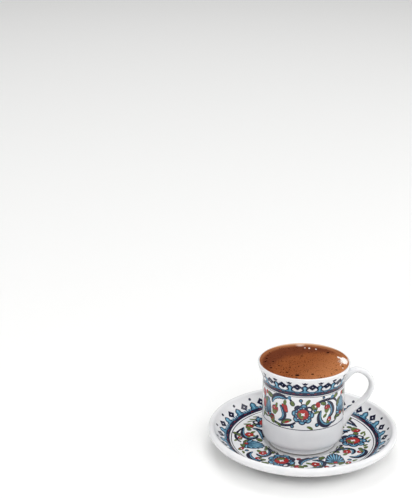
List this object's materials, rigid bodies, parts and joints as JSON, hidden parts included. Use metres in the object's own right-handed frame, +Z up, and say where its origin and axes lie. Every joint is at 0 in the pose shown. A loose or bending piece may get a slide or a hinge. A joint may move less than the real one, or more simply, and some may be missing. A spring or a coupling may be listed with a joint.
{
  "type": "turkish coffee in a cup and saucer",
  "caption": "Small straight-sided porcelain cup with a flared rim and an ear handle, filled to the rim with foamed coffee, standing on a deep round saucer.",
  "frame": {"origin": "centre of the saucer's base, on the surface that the saucer stands on", "axes": "+Z up along the common axis of cup and saucer, +X towards the cup's handle, so the XZ plane is the plane of symmetry"},
  "size_m": [0.125, 0.125, 0.0628],
  "materials": {
    "saucer_porcelain": "white glazed porcelain with a traditional floral border and field in navy, turquoise, red and green under the glaze",
    "cup_porcelain": "white glazed porcelain with a traditional floral band in navy, turquoise, red and green under the glaze",
    "coffee_foam": "fine wet coffee foam with small open bubbles"
  },
  "bodies": {
    "root": {"saucer": "saucer_porcelain", "cup": "cup_porcelain", "coffee": "coffee_foam"}
  },
  "joints": []
}
